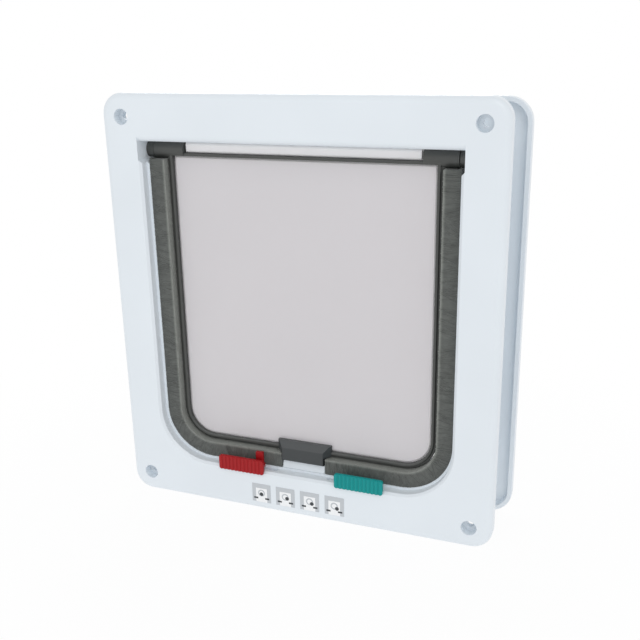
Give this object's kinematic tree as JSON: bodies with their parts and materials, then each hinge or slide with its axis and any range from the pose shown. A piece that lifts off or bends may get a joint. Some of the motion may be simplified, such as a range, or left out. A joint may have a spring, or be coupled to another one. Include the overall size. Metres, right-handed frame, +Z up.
{
  "type": "cat flap",
  "caption": "Square cat flap for a door: white indoor and outdoor frames round a tunnel, a clear magnetic swing flap with a dark rim, pile seals, and sliders that lock it each way.",
  "frame": {"origin": "middle of the bounding box at the level of the edges that the frames stand on", "axes": "+X right seen from indoors, +Y outdoors through the door, +Z up"},
  "size_m": [0.2416, 0.0556, 0.252],
  "materials": {
    "white_abs": "moulded white ABS, soft satin gloss",
    "grey_abs": "moulded dark grey ABS, fine matt grain",
    "clear_acrylic": "lightly smoked clear acrylic, polished",
    "steel": "drawn steel pin",
    "ferrite": "sintered ferrite magnet",
    "pile": "woven polypropylene pile weather strip",
    "red_plastic": "moulded red plastic",
    "green_plastic": "moulded blue-green plastic"
  },
  "bodies": {
    "base": {"front_frame": "white_abs", "rear_frame": "white_abs", "hinge_bush_left": "grey_abs", "hinge_bush_right": "grey_abs", "brush_strip_left": "pile", "brush_strip_right": "pile", "sill_magnet": "ferrite"},
    "flap": {"flap_frame": "grey_abs", "flap_panel": "clear_acrylic", "hinge_pin_left": "steel", "hinge_pin_right": "steel", "magnet_holder": "grey_abs", "flap_magnet": "ferrite"},
    "red_lock": {"red_slider": "red_plastic"},
    "green_lock": {"green_slider": "green_plastic"}
  },
  "joints": [
    {"name": "flap_swing", "type": "hinge", "parent": "base", "child": "flap", "pos_m": [0, -0.0117, 0.2196], "axis": [1, 0, 0], "range_deg": [-85, 85]},
    {"name": "red_slide", "type": "slide", "parent": "base", "child": "red_lock", "axis": [1, 0, 0], "range_m": [0, 0.015]},
    {"name": "green_slide", "type": "slide", "parent": "base", "child": "green_lock", "axis": [-1, 0, 0], "range_m": [0, 0.015]}
  ]
}
